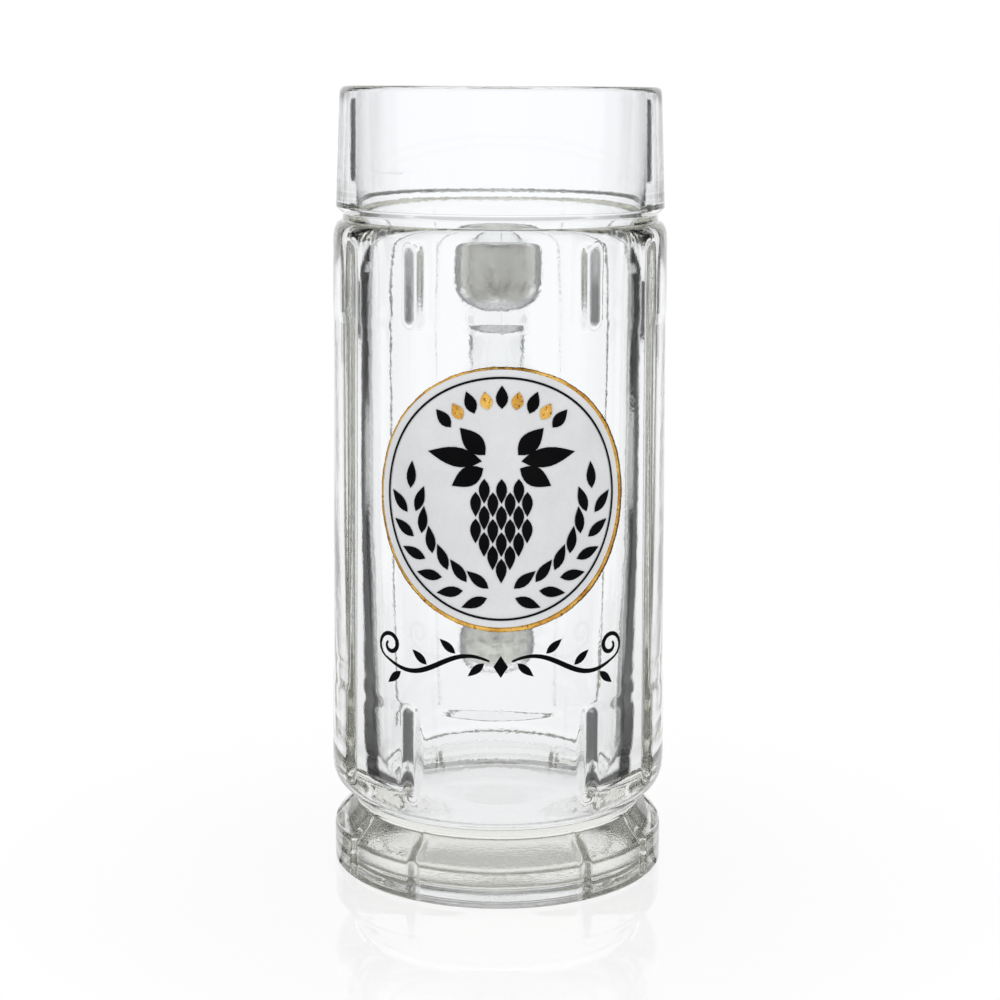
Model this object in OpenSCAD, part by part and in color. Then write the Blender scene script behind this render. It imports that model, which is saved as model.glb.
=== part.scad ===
// Half-litre beer mug of pressed glass with a fused handle and a fired-on print.
// Frame: Z up, origin at the middle of the foot's underside, print faces -Y, handle at +Y.

/* [Vessel] */
// Height from the table to the drinking rim
mug_h = 190; // [180:1:210]
// Outer radius at the drinking rim
rim_r = 38.3; // [37:0.1:39]
// Wall thickness at the drinking rim
rim_wall = 3.2; // [2:0.1:4]
// Height of the smooth band under the rim
band_h = 28.6; // [20:0.2:34]
// Outer radius at the lower corner of the rim band
band_r = 39.4; // [39:0.1:41]
// Outer radius at the floor of the neck groove
neck_r = 37.8; // [37:0.1:38.8]
// Height of the neck groove, from the band's corner to the shoulder
neck_h = 3; // [2:0.2:6]
// Height of the sloping face under the band's corner
band_slope_h = 1.3; // [0.6:0.1:1.8]
// Height of the shoulder's rounding
shoulder_h = 4; // [2:0.2:6]
// Outer radius at the shoulder
shoulder_r = 40.1; // [39.8:0.1:42]
// Outer radius at the heel, just above the foot groove
heel_r = 41.1; // [40.4:0.1:42]
// Height of the heel's rounding
heel_h = 7.4; // [6:0.1:11]
// Height of the thin lip under the rim
lip_h = 10; // [6:0.5:15]
// Wall thickness at the lip's lower end
lip_wall = 3.7; // [2.6:0.1:4.5]
// Wall thickness at the lower corner of the rim band
band_wall = 4.8; // [4:0.1:7]
// Wall thickness under the shoulder
shoulder_wall = 8.2; // [6:0.1:9]
// Wall thickness at the knee, under which the wall thickens towards the heel
knee_wall = 8.9; // [7:0.1:10]
// Height of the knee above the belt's lower edge
knee_rise = 30; // [15:1:60]
// Wall thickness at the heel
heel_wall = 10.7; // [8:0.1:12]
// Distance below the shoulder at which the wall reaches its full thickness
wall_drop = 8.4; // [5:0.2:12]
// Thickness of the bottom, from the table to the bowl's floor
bottom_t = 16; // [12:0.5:20]
// Radius of the rounding between bowl wall and floor
bowl_fillet = 9.5; // [6:0.5:16]

/* [Print belt] */
// Height of the lower panels, from the heel to the belt
low_panel_h = 22.6; // [18:0.2:26]
// Height of the upper panels, from the belt to the shoulder
top_panel_h = 23.4; // [18:0.2:26]
// Depth of the belt under the panels
belt_recess = 0.4; // [0.2:0.05:0.6]
// Height of the soft step at the belt's edges
belt_step = 1.5; // [0.5:0.1:3]

/* [Foot] */
// Outer radius of the foot
foot_r = 40.6; // [40:0.1:42]
// Height of the foot's upright face
foot_face_h = 9.5; // [7:0.5:12]
// Height of the sloping face between the upright face and the groove
foot_slope_h = 6.2; // [4:0.1:8]
// Outer radius at the floor of the groove above the foot
foot_groove_r = 35.2; // [34:0.1:38.5]
// Height of the groove's upright floor
foot_groove_h = 2.6; // [1:0.1:4]
// Bevel under the foot
foot_bevel = 0.8; // [0.4:0.1:3]
// Width of the flat ring that the mug stands on
bearing_w = 6; // [3:0.5:9]
// Depth of the hollow under the foot
punt_h = 2.5; // [1:0.1:5]

/* [Notches] */
// Angle between neighbouring notches
notch_pitch = 30; // [30, 45, 60]
// Width of the notches in the body
notch_w = 5; // [3:0.1:6]
// Depth of the notches in the body
notch_d = 1.5; // [0.8:0.05:1.8]
// Width of the notches in the foot
foot_notch_w = 3.7; // [2:0.1:5]
// Depth of the notches in the foot
foot_notch_d = 1.4; // [0.6:0.05:2]
// Height of a notch's sloping end
notch_run = 1.5; // [0.5:0.1:4]

/* [Handle] */
// Distance of the upper joint's middle below the shoulder
handle_drop = 17.4; // [13:0.2:26]
// Height of the lower joint's middle above the heel
handle_rise = 18.1; // [11:0.1:30]
// Distance of the grip's middle from the mug's axis
handle_reach = 79; // [72:0.5:90]
// Width of the grip
grip_w = 20; // [16:0.5:24]
// Thickness of the grip
grip_t = 13; // [10:0.5:16]
// Width of the upper joint
top_pad_w = 23; // [20:0.5:30]
// Width of the lower joint
low_pad_w = 20.5; // [20:0.5:30]
// Height of the joints where they meet the wall
pad_t = 13.5; // [13:0.5:20]

/* [Print] */
// Thickness of one fired-on layer
print_t = 0.15; // [0.1:0.01:0.3]
// Clearance under each layer
print_gap = 0.02; // [0.01:0.01:0.05]
// Radius of the badge
badge_r = 31; // [26:0.5:33]
// Distance of the badge from the belt's upper edge
badge_drop = 6.5; // [2:0.5:9]
// Width of the gold edge
gold_w = 1.3; // [0.6:0.1:3]
// Distance of the black ring line from the enamel's edge
ring_inset = 1.6; // [1:0.1:3]
// Width of the black ring line
ring_w = 0.5; // [0.3:0.05:1]
// Number of grain pairs in each barley ear
grain_pairs = 6; // [4:1:7]
// Length of a barley grain
grain_l = 6.4; // [4:0.1:7]
// Width of a barley grain
grain_w = 2.5; // [1.5:0.1:3]
// Number of rays above the hop cone
rays = 9; // [5:2:11]
// Distance of the ornament line's middle below the badge
ornament_drop = 8; // [6:0.5:11]
// Half length of the ornament line along the wall
ornament_l = 31; // [24:0.5:34]
// Distance of the fill line below the rim
fill_drop = 19.5; // [8:0.5:22]
// Direction of the fill line from the front, to the left
fill_a = 42; // [20:1:70]
// Length of the fill line along the wall
fill_l = 9; // [5:0.5:20]
// Width of the fill line
fill_w = 0.5; // [0.3:0.05:1]

/* [Hidden] */
$fn = 96;

// Heights and radii that follow from the driving sizes
band_z = mug_h - band_h;
shoulder_z = band_z - neck_h;
shoulder_low_z = shoulder_z - shoulder_h;
foot_groove_z = foot_face_h + foot_slope_h;
heel_z = foot_groove_z + foot_groove_h + heel_h;
belt_low = heel_z + low_panel_h;
belt_top = shoulder_z - top_panel_h;
badge_z = belt_top - badge_drop - badge_r;
ornament_z = badge_z - badge_r - ornament_drop;
handle_top_z = shoulder_z - handle_drop;
handle_low_z = heel_z + handle_rise;
fill_z = mug_h - fill_drop;
rim_round = rim_wall / 2;
knee_z = belt_low + knee_rise;
lip_z = mug_h - lip_h;
bowl_neck_r = band_r - band_wall;
bowl_top_r = shoulder_r - shoulder_wall;
bowl_low_r = heel_r - heel_wall;
punt_r = foot_r - foot_bevel - bearing_w;
punt_slope = punt_h;
foot_round = 1.5;
overcut = 1;

// Outer radius of the panels at height z: a straight line from heel to shoulder
function panel_r(z) = heel_r + (shoulder_r - heel_r) * (z - heel_z) / (shoulder_low_z - heel_z);
// Outer radius of the belt at height z
function belt_r(z) = panel_r(z) - belt_recess;
// Outer radius of the rim band at height z
function band_face_r(z) = band_r + (rim_r - band_r) * (z - band_z) / (mug_h - rim_round - band_z);
// Radius of the bowl at the lip's lower end and at the knee
bowl_lip_r = band_face_r(lip_z) - lip_wall;
bowl_knee_r = panel_r(knee_z) - knee_wall;
// Lean of the panels from upright
panel_lean = atan((heel_r - shoulder_r) / (shoulder_low_z - heel_z));

// Points of an elliptic arc, in radius and height
function arc(c, a, b, from, to, n = 8) =
    [for (i = [0:n]) let (t = from + (to - from) * i / n) [c[0] + a * cos(t), c[1] + b * sin(t)]];

outer_side = concat(
    arc([foot_r - foot_bevel, foot_bevel], foot_bevel, foot_bevel, -90, 0),
    arc([foot_r - foot_round, foot_face_h - foot_round], foot_round, foot_round, 0, 50, 4),
    [[foot_groove_r, foot_groove_z]],
    arc([foot_groove_r, heel_z], heel_r - foot_groove_r, heel_h, -90, 0, 10),
    [[panel_r(belt_low - belt_step), belt_low - belt_step],
     [belt_r(belt_low), belt_low],
     [belt_r(belt_top), belt_top],
     [panel_r(belt_top + belt_step), belt_top + belt_step]],
    arc([neck_r, shoulder_low_z], shoulder_r - neck_r, shoulder_h, 0, 90),
    [[neck_r, band_z - band_slope_h], [band_r, band_z]]);

inner_side = concat(
    [[bowl_lip_r, lip_z], [bowl_neck_r, band_z], [bowl_top_r, shoulder_z - wall_drop], [bowl_knee_r, knee_z]],
    arc([bowl_low_r - bowl_fillet, bottom_t + bowl_fillet], bowl_fillet, bowl_fillet, 0, -90, 10),
    [[0, bottom_t]]);

wall_section = concat(
    [[0, punt_h], [punt_r - punt_slope, punt_h], [punt_r, 0]],
    outer_side,
    arc([rim_r - rim_round, mug_h - rim_round], rim_round, rim_round, 0, 180, 10),
    inner_side);

solid_section = concat([[0, 0]], outer_side, [[rim_r, mug_h], [0, mug_h]]);

// Directions of the notches, counted from the front; front and back panels are double
front_notches = [-notch_pitch, notch_pitch];
side_notches = [for (a = [2 * notch_pitch:notch_pitch:180 - notch_pitch]) each [-a, a]];

// One long V prism, apex inwards, at direction a from the front
module v_prism(a, r, lean, z, w, d, h)
    rotate([0, 0, a - 90])
        translate([r, 0, z])
            rotate([0, -lean, 0])
                translate([0, 0, -h / 2])
                    linear_extrude(h)
                        polygon([[-d, 0], for (s = [1, -1]) [overcut, s * w / 2 * (1 + overcut / d)]]);

// Ring that limits a row of notches to the heights from low to high, with sloping ends
module notch_zone(low, high, r)
    rotate_extrude()
        polygon([[r - 2 * notch_d, low + 2 * notch_run], [r, low], [r + 4 * overcut, low],
                 [r + 4 * overcut, high], [r, high], [r - 2 * notch_d, high - 2 * notch_run]]);

module body_notches(angles, low, high) {
    mid = (low + high) / 2;
    intersection() {
        for (a = angles)
            v_prism(a, panel_r(mid), panel_lean, mid, notch_w, notch_d, high - low + 4 * overcut);
        notch_zone(low, high, panel_r(mid));
    }
}

module foot_notches(angles)
    for (a = angles)
        v_prism(a, foot_r, 0, foot_groove_z / 2, foot_notch_w, foot_notch_d, foot_groove_z + 2 * overcut);

notch_low = heel_z - 1;
notch_high = shoulder_low_z + shoulder_h / 4;

module glass_body()
    color([0.86, 0.9, 0.9, 0.5])
        difference() {
            rotate_extrude() polygon(wall_section);
            body_notches(front_notches, notch_low, belt_low);
            body_notches(front_notches, belt_top, notch_high);
            body_notches(side_notches, notch_low, notch_high);
            foot_notches(concat(front_notches, side_notches));
        }

// Handle: a rounded section swept along a D-shaped line in the plane X = 0
handle_rings = 44;
handle_sides = 24;
handle_root_y = bowl_top_r + overcut;
function signed_pow(v, e) = sign(v) * pow(abs(v), e);
// Middle line at t from 0 (upper joint) to 1 (lower joint), in Y and Z
function handle_y(t) = handle_root_y + (handle_reach - handle_root_y) * pow(max(0, sin(180 * t)), 0.62);
function handle_z(t) = (handle_top_z + handle_low_z) / 2
    + (handle_top_z - handle_low_z) / 2 * signed_pow(cos(180 * t), 0.8);
// Share of the joint's flare at t: 1 at the wall, 0 along the grip
function flare(t) = pow(1 - min(1, min(t, 1 - t) / 0.2), 2);
function section_w(t) = grip_w + ((t < 0.5 ? top_pad_w : low_pad_w) - grip_w) * flare(t);
function section_t(t) = grip_t + (pad_t - grip_t) * flare(t);
function handle_turn(t) = let (e = 0.01, a = max(0, t - e), b = min(1, t + e))
    atan2(handle_z(b) - handle_z(a), handle_y(b) - handle_y(a));
function handle_ring(t) = let (turn = handle_turn(t))
    [for (i = [0:handle_sides - 1])
        let (a = 360 * i / handle_sides,
             across = section_w(t) / 2 * signed_pow(cos(a), 0.85),
             out = section_t(t) / 2 * signed_pow(sin(a), 0.85))
        [across, handle_y(t) - out * sin(turn), handle_z(t) + out * cos(turn)]];

module handle_sweep() {
    points = [for (k = [0:handle_rings]) each handle_ring(k / handle_rings)];
    n = handle_sides;
    last = handle_rings * n;
    walls = [for (k = [0:handle_rings - 1], i = [0:n - 1])
        let (a = k * n + i, b = k * n + (i + 1) % n)
        each [[a, b, b + n], [a, b + n, a + n]]];
    caps = [[for (i = [n - 1:-1:0]) i], [for (i = [0:n - 1]) last + i]];
    polyhedron(points, concat(walls, caps));
}

module handle()
    color([0.86, 0.9, 0.9, 0.5])
        difference() {
            handle_sweep();
            rotate_extrude() polygon(solid_section);
        }

// Print: flat designs with the arc length along the wall as x, wrapped onto the belt
function wrap_x(x, r) = r * sin(max(-89, min(89, x / r * 180 / PI)));
function wrap(points, z) = [for (p = points) [wrap_x(p[0], belt_r(z)), p[1]]];

// Thin layer on the belt; layer 0 lies on the glass and layer 1 on layer 0
module belt_layer(layer) {
    under = print_gap + layer * (print_t + print_gap);
    rotate_extrude()
        polygon([[belt_r(belt_low) + under, belt_low], [belt_r(belt_low) + under + print_t, belt_low],
                 [belt_r(belt_top) + under + print_t, belt_top], [belt_r(belt_top) + under, belt_top]]);
}

// The part of a layer that lies behind the flat designs given as children, at height z
module printed(z, layer)
    intersection() {
        belt_layer(layer);
        translate([0, 0, z])
            rotate([90, 0, 0])
                linear_extrude(heel_r + shoulder_r)
                    children();
    }

module disc(r, z)
    polygon(wrap(arc([0, 0], r, r, 0, 360 - 360 / 120, 119), z));

// Pointed oval of length l and width w, from the origin along +x
function petal(l, w, n = 6) = concat(
    [for (i = [0:n]) [l * i / n, w / 2 * sin(180 * pow(i / n, 0.85))]],
    [for (i = [n - 1:-1:1]) [l * i / n, -w / 2 * sin(180 * pow(i / n, 0.85))]]);
// Points turned by a and moved to p
function placed(points, a, p) =
    [for (q = points) [p[0] + q[0] * cos(a) - q[1] * sin(a), p[1] + q[0] * sin(a) + q[1] * cos(a)]];
function mirrored(points) = [for (q = points) [-q[0], q[1]]];

// A shape and its mirror image, both wrapped
module pair(points, z) {
    polygon(wrap(points, z));
    polygon(wrap(mirrored(points), z));
}

enamel_r = badge_r - gold_w;
ring_r = enamel_r - ring_inset;

module badge_gold_rim()
    color("goldenrod")
        printed(badge_z, 0)
            difference() {
                disc(badge_r, badge_z);
                disc(enamel_r, badge_z);
            }

module badge_enamel()
    color("gainsboro")
        printed(badge_z, 0) disc(enamel_r, badge_z);

// Barley ears: pairs of grains along an arc on both sides of the badge
ear_r = 0.78 * ring_r;
ear_from = 262;
ear_step = grain_l * 0.86 / ear_r * 180 / PI;
grain_splay = 30;
module barley_ears() {
    for (k = [0:grain_pairs - 1], side = [-1, 1]) {
        a = ear_from - k * ear_step;
        pair(placed(petal(grain_l, grain_w), a - 90 + side * grain_splay,
                    (ear_r + side * 0.45 * grain_w) * [cos(a), sin(a)]), badge_z);
    }
    tip = ear_from - grain_pairs * ear_step;
    pair(placed(petal(grain_l, grain_w), tip - 90, ear_r * [cos(tip), sin(tip)]), badge_z);
}

// Hop cone: scales in staggered rows that swell and taper downwards
hop_rows = [3, 4, 3, 4, 3, 2, 1];
hop_top = 0.17 * ring_r;
scale_w = 0.14 * ring_r;
scale_l = 1.45 * scale_w;
scale_step = 0.78 * scale_w;
module hop_cone()
    for (k = [0:len(hop_rows) - 1], i = [0:hop_rows[k] - 1])
        polygon(wrap(placed(petal(scale_l, 0.64 * scale_w), -90,
                            [(i - (hop_rows[k] - 1) / 2) * scale_w, hop_top - k * scale_step]), badge_z));

// Two three-lobed leaves above the cone
leaf_foot = [0.07 * ring_r, 0.3 * ring_r];
leaf_aim = 8;
lobe_splay = 38;
module hop_leaves()
    for (lobe = [-1:1]) {
        a = leaf_aim + lobe_splay * lobe;
        l = lobe == 0 ? 0.46 * ring_r : 0.3 * ring_r;
        pair(placed(petal(l, 0.16 * ring_r, 8), a, leaf_foot + 0.09 * ring_r * [cos(a), sin(a)]), badge_z);
    }

// Rays of a rising sun over the leaves, every other one of gold
ray_foot = [0, 0.12 * ring_r];
ray_spread = 84;
module sun_rays(first)
    for (i = [first:2:rays - 1]) {
        a = 90 - ray_spread / 2 + ray_spread * i / (rays - 1);
        inner = 0.62 * ring_r;
        outer = first == 0 ? 0.81 * ring_r : 0.77 * ring_r;
        polygon(wrap(placed(petal(outer - inner, 0.1 * ring_r), a, ray_foot + inner * [cos(a), sin(a)]),
                     badge_z));
    }

module badge_black_print()
    color("black")
        printed(badge_z, 1) {
            difference() {
                disc(ring_r, badge_z);
                disc(ring_r - ring_w, badge_z);
            }
            barley_ears();
            hop_cone();
            hop_leaves();
            sun_rays(0);
        }

module badge_gold_print()
    color("goldenrod")
        printed(badge_z, 1) sun_rays(1);

// Ornament line: waves that curl up at both ends, with leaves along them
function stroke(path, widths) = let (n = len(path) - 1)
    concat([for (i = [0:n]) path[i] + widths[i] / 2 * normal(path, i)],
           [for (i = [n:-1:0]) path[i] - widths[i] / 2 * normal(path, i)]);
function normal(path, i) = let (d = path[min(i + 1, len(path) - 1)] - path[max(i - 1, 0)])
    [-d[1], d[0]] / norm(d);
curl_r = 3.4;
curl_turns = 1.3;
wave_n = 24;
curl_n = 22;
wave_start = 2.6;
wave_end = ornament_l - curl_r / 2;
wave_h = 2.4;
function wave_y(x) = wave_h * sin(360 * x / wave_end);
wave_path = [for (i = [0:wave_n]) let (x = wave_start + (wave_end - wave_start) * i / wave_n) [x, wave_y(x)]];
wave_widths = [for (i = [0:wave_n]) 0.5 + 0.7 * sin(180 * i / wave_n)];
// The curl leaves the wave's end in the wave's own direction and winds inwards
curl_aim = atan(wave_h * 2 * PI / wave_end);
curl_c = [wave_end, 0] + curl_r * [-sin(curl_aim), cos(curl_aim)];
curl_path = [for (i = [0:curl_n])
    let (t = i / curl_n, a = curl_aim - 90 + 360 * curl_turns * t)
    curl_c + curl_r * (1 - 0.75 * t) * [cos(a), sin(a)]];
curl_widths = [for (i = [0:curl_n]) 0.5 + 0.6 * sin(180 * i / curl_n)];
// Leaves, as shares of the wave's length: above it where it falls, below where it rises
leaf_places = [0.13, 0.36, 0.6, 0.84];
leaf_l = 5;
leaf_w = 1.9;
leaf_splay = 40;
diamond = [[-1.7, 0], [0, 2.6], [1.7, 0], [0, -2.6]];

module ornament_line()
    color("black")
        printed(ornament_z, 0) {
            pair(stroke(wave_path, wave_widths), ornament_z);
            pair(stroke(curl_path, curl_widths), ornament_z);
            for (s = leaf_places) {
                x = s * wave_end;
                side = cos(360 * s) > 0 ? -1 : 1;
                pair(placed(petal(leaf_l, leaf_w), side * leaf_splay, [x, wave_y(x) + side * leaf_w / 2]),
                     ornament_z);
            }
            polygon(wrap(diamond, ornament_z));
        }

module fill_mark()
    color("whitesmoke")
        intersection() {
            rotate_extrude()
                polygon([for (q = [[0, -1], [1, -1], [1, 1], [0, 1]])
                    let (z = fill_z + q[1] * fill_w / 2) [band_face_r(z) + print_gap + q[0] * print_t, z]]);
            rotate([0, 0, -fill_a])
                translate([-fill_l / 2, -band_r - rim_r, fill_z - fill_w])
                    cube([fill_l, band_r + rim_r, 2 * fill_w]);
        }

glass_body();
handle();
badge_gold_rim();
badge_enamel();
badge_black_print();
badge_gold_print();
ornament_line();
fill_mark();
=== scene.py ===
import math

import bpy
import numpy as np
from mathutils import Matrix, Vector


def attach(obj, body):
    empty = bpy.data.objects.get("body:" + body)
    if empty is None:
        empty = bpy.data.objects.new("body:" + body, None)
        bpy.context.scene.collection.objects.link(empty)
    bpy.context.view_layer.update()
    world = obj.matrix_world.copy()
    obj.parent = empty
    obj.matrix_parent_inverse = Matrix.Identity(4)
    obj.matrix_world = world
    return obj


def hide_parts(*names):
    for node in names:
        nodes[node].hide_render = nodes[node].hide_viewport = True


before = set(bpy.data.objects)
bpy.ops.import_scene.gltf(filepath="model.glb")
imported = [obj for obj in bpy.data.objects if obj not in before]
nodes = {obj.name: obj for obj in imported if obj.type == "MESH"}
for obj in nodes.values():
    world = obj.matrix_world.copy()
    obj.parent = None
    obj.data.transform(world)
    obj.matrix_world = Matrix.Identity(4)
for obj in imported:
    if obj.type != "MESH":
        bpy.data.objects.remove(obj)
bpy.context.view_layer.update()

MM = 0.001

# Sizes of the mug in millimetres, as in the part's source to a tenth of a millimetre
MUG_H = 190.0
RIM_R, RIM_ROUND = 38.3, 1.6
BAND_Z, BAND_R, BAND_SLOPE_H = 161.4, 39.4, 1.3
NECK_R = 37.8
SHOULDER_LOW_Z, SHOULDER_H, SHOULDER_R = 154.4, 4.0, 40.1
HEEL_Z, HEEL_R, HEEL_H = 25.7, 41.1, 7.4
GROOVE_R, GROOVE_Z = 35.2, 15.7
FOOT_R, FOOT_FACE_H, FOOT_BEVEL = 40.6, 9.5, 0.8
PUNT_R, PUNT_H = 33.8, 2.5
BOWL_LIP_R, BOWL_LIP_Z = 34.95, 180.0
BOWL_NECK_R, BOWL_TOP_R, BOWL_TOP_Z = 34.6, 31.9, 150.0
BOWL_KNEE_R, BOWL_KNEE_Z, BOWL_LOW_R = 31.73, 78.3, 30.4
BOTTOM_T = 16.0
BELT_LOW, BELT_TOP, BELT_RECESS = 48.3, 135.0, 0.4
BADGE_R, ENAMEL_R, BADGE_Z = 31.0, 29.7, 97.5
PRINT_T, PRINT_GAP = 0.15, 0.02
# Heights of the handle's joints
TOP_Z, LOW_Z = 141.0, 43.8

# Forms that are softer here than in the part's source: the belt's edges and the bowl's corner, whose rows go
# in from the wall and up from the floor, with a rounding
BELT_STEP = 2.4
BOWL_CORNER = ((0.0, 11.9, 30.0), (2.0, 5.3, 9.0), (5.3, 2.0, 9.0), (11.9, 0.0, 30.0))
# Share of the belt's depth that is missing at the unprinted back, and the degrees over which it goes
BELT_BACK_FILL, BELT_BACK_FROM, BELT_BACK_BLEND = 0.5, 60, 20
# The belt's glass rises by this much into the print's back, so that print and glass touch optically
PRINT_SEAT = 0.05
# Roundings of the outline's other corners
PUNT_ROUND, PUNT_EDGE_ROUND = 4.0, 1.2
FOOT_TOP_ROUND, GROOVE_ROUND = 3.0, 1.5
BELT_ROUND = 6.0
NECK_LOW_ROUND, NECK_TOP_ROUND, BAND_ROUND = 0.4, 0.6, 0.8
LIP_ROUND, BOWL_NECK_ROUND, BOWL_TOP_ROUND, KNEE_ROUND = 400.0, 40.0, 30.0, 900.0


def panel_r(z):
    """Outer radius of the panels at height z."""
    return HEEL_R + (SHOULDER_R - HEEL_R) * (z - HEEL_Z) / (SHOULDER_LOW_Z - HEEL_Z)


def belt_r(z):
    """Outer radius of the recessed belt at height z."""
    return panel_r(z) - BELT_RECESS


# Mesh helpers

# Longest steps of the outline on worked parts and on plain stretches, and the least length of such stretches
FINE_STEP, PLAIN_STEP, PLAIN_LENGTH = 1.1, 3.5, 24.0
# Degrees to a step of an arc, the largest share of a side that an arc takes, and the least turn that gets one
ARC_STEP, ARC_SHARE, LEAST_TURN = 9.0, 0.48, 0.01
SAME_POINT = 1e-4


def add_object(name, verts, faces, smooth=True):
    """A mesh object from millimetre points."""
    mesh = bpy.data.meshes.new(name)
    mesh.from_pydata((np.asarray(verts, float) * MM).tolist(), [], faces)
    mesh.validate()
    mesh.update()
    if smooth:
        mesh.polygons.foreach_set("use_smooth", [True] * len(mesh.polygons))
    obj = bpy.data.objects.new(name, mesh)
    bpy.context.scene.collection.objects.link(obj)
    return obj


def grid_faces(rows, cols, start=0, flip=False):
    """Quads of a grid whose columns close into a ring."""
    k, i = np.meshgrid(np.arange(rows - 1), np.arange(cols), indexing="ij")
    j = (i + 1) % cols
    here, above = k * cols, (k + 1) * cols
    quads = np.stack([here + i, here + j, above + j, above + i], -1).reshape(-1, 4) + start
    return (quads[:, ::-1] if flip else quads).tolist()


def elliptic(r, z, reach, height, first, last, count=13):
    """Outline rows on an ellipse about (r, z), from one angle to another in degrees."""
    angles = np.radians(np.linspace(first, last, count))
    return [(r + reach * math.cos(t), z + height * math.sin(t), 0.0) for t in angles]


def rounded(points):
    """Polyline through (r, z, rounding) rows with each corner replaced by an arc."""
    out = [np.array(points[0][:2], float)]
    for before, here, after in zip(points, points[1:], points[2:]):
        p, a, b = (np.array(q[:2], float) for q in (here, before, after))
        u, v = a - p, b - p
        lu, lv = np.linalg.norm(u), np.linalg.norm(v)
        u, v = u / lu, v / lv
        turn = math.pi - math.acos(max(-1.0, min(1.0, float(u @ v))))
        if here[2] <= 0 or turn < LEAST_TURN:
            out.append(p)
            continue
        reach = min(here[2] * math.tan(turn / 2), ARC_SHARE * lu, ARC_SHARE * lv)
        radius = reach / math.tan(turn / 2)
        bisector = (u + v) / np.linalg.norm(u + v)
        centre = p + bisector * radius / math.cos(turn / 2)
        first = p + u * reach - centre
        last = p + v * reach - centre
        start = math.atan2(first[1], first[0])
        sweep = math.atan2(last[1], last[0]) - start
        sweep = (sweep + math.pi) % (2 * math.pi) - math.pi
        n = max(2, math.ceil(abs(math.degrees(sweep)) / ARC_STEP))
        for t in np.linspace(0, 1, n + 1):
            angle = start + sweep * t
            out.append(centre + radius * np.array([math.cos(angle), math.sin(angle)]))
    out.append(np.array(points[-1][:2], float))
    return out


def refined(points):
    """The same polyline in short steps, and in longer ones where the wall is plain."""
    out = [points[0]]
    for a, b in zip(points, points[1:]):
        length = np.linalg.norm(b - a)
        in_bowl = max(a[0], b[0]) < GROOVE_R and min(a[1], b[1]) >= BOTTOM_T
        step = PLAIN_STEP if in_bowl or length > PLAIN_LENGTH else FINE_STEP
        n = max(1, math.ceil(length / step))
        out += [a + (b - a) * k / n for k in range(1, n + 1)]
    return np.array(out[:1] + [p for p, q in zip(out[1:], out) if np.linalg.norm(p - q) > SAME_POINT])


# Vessel: a turned outline, from the middle of its underside round to the middle of the bowl's floor

belt_face = BELT_RECESS - PRINT_SEAT
outline = [
    (0.0, PUNT_H, 0.0),
    (PUNT_R - PUNT_H, PUNT_H, PUNT_ROUND),
    (PUNT_R, 0.0, PUNT_EDGE_ROUND),
    (FOOT_R, 0.0, FOOT_BEVEL),
    (FOOT_R, FOOT_FACE_H, FOOT_TOP_ROUND),
    (GROOVE_R, GROOVE_Z, GROOVE_ROUND),
    *elliptic(GROOVE_R, HEEL_Z, HEEL_R - GROOVE_R, HEEL_H, -80, 0),
    (panel_r(BELT_LOW - BELT_STEP), BELT_LOW - BELT_STEP, BELT_ROUND),
    (panel_r(BELT_LOW) - belt_face, BELT_LOW, BELT_ROUND),
    (panel_r(BELT_TOP) - belt_face, BELT_TOP, BELT_ROUND),
    (panel_r(BELT_TOP + BELT_STEP), BELT_TOP + BELT_STEP, BELT_ROUND),
    *elliptic(NECK_R, SHOULDER_LOW_Z, SHOULDER_R - NECK_R, SHOULDER_H, 0, 80),
    (NECK_R, SHOULDER_LOW_Z + SHOULDER_H, NECK_LOW_ROUND),
    (NECK_R, BAND_Z - BAND_SLOPE_H, NECK_TOP_ROUND),
    (BAND_R, BAND_Z, BAND_ROUND),
    (RIM_R, MUG_H, RIM_ROUND),
    (RIM_R - 2 * RIM_ROUND, MUG_H, RIM_ROUND),
    (BOWL_LIP_R, BOWL_LIP_Z, LIP_ROUND),
    (BOWL_NECK_R, BAND_Z, BOWL_NECK_ROUND),
    (BOWL_TOP_R, BOWL_TOP_Z, BOWL_TOP_ROUND),
    (BOWL_KNEE_R, BOWL_KNEE_Z, KNEE_ROUND),
    *[(BOWL_LOW_R - inward, BOTTOM_T + up, rounding) for inward, up, rounding in BOWL_CORNER],
    (0.0, BOTTOM_T, 0.0)]
profile = refined(rounded(outline))
rim_row = int(np.argmax(profile[:, 1]))
# Rows of the rim's outer rounding that take no part in the outside's relief
RIM_ROWS = 4

# Notches: places in degrees from the front, where the back begins, sizes, and softness of bottoms and edges
FRONT_NOTCHES = [-30, 30]
SIDE_NOTCHES = [s * a for a in (60, 90, 120, 150) for s in (-1, 1)]
BACK_FROM = 100
NOTCH_W, NOTCH_D = 5.0, 1.5
NOTCH_LOW, NOTCH_HIGH = HEEL_Z - 1.0, SHOULDER_LOW_Z + SHOULDER_H / 4
NOTCH_SOFT, BACK_NOTCH_SOFT, NOTCH_EDGE_SOFT = 0.45, 1.1, 0.4
FOOT_NOTCH_W, FOOT_NOTCH_D = 3.7, 1.4
FOOT_NOTCH_SOFT, FOOT_EDGE_SOFT = 0.2, 0.25
# Height below the groove over which the foot's notches fade, and the share of their depth that stays
FOOT_FADE_H, FOOT_FADE_REST = 4.0, 0.3
# The foot's side starts this far above the table and outside the hollow
FOOT_SIDE_RISE, FOOT_SIDE_OUT = 0.05, 0.5
# Mould seams: places, height, width in degrees, and where they start above the table and from the axis
SEAMS = [0, 180]
SEAM_H, SEAM_TURN, SEAM_FROM_Z, SEAM_FROM_R = 0.06, 0.45, 3, 30

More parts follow.
